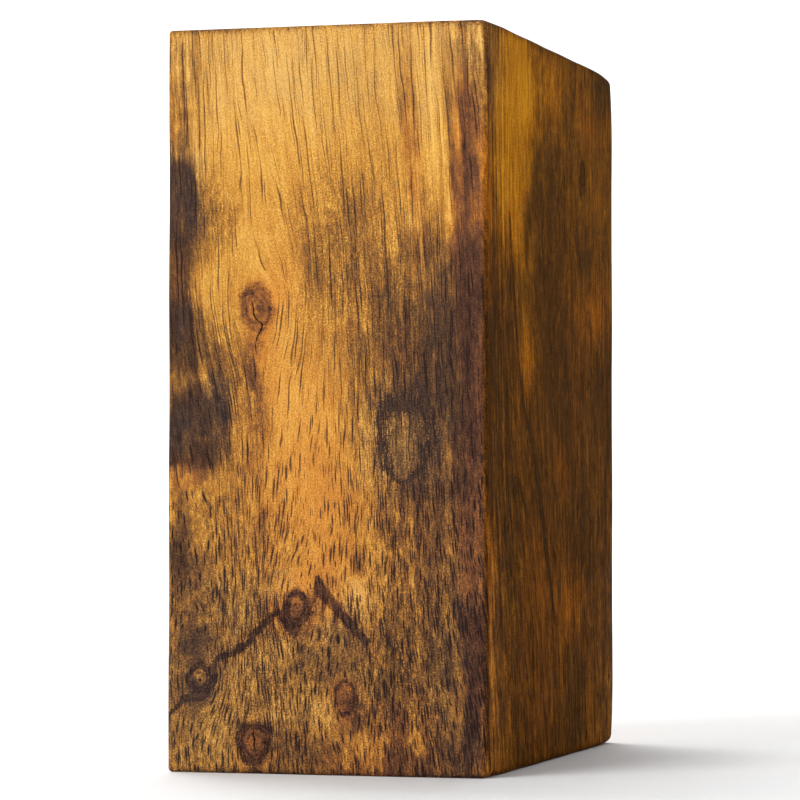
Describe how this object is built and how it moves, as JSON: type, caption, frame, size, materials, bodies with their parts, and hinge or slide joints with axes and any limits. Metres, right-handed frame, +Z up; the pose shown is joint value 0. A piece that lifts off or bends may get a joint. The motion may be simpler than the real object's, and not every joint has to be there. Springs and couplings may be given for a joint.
{
  "type": "burl wood block",
  "caption": "Upright sawn and sanded block of figured burl wood with eased edges and open checks in its knots.",
  "frame": {"origin": "centre of the bottom end-grain face, on the surface the block stands on", "axes": "+Z up along the grain, -Y out of the narrow figured face with the knots, +X out of the wide side face"},
  "size_m": [0.051, 0.0834, 0.1145],
  "materials": {
    "burl_wood": "sanded and oiled, satin"
  },
  "bodies": {
    "root": {"burl_block": "burl_wood"}
  },
  "joints": []
}
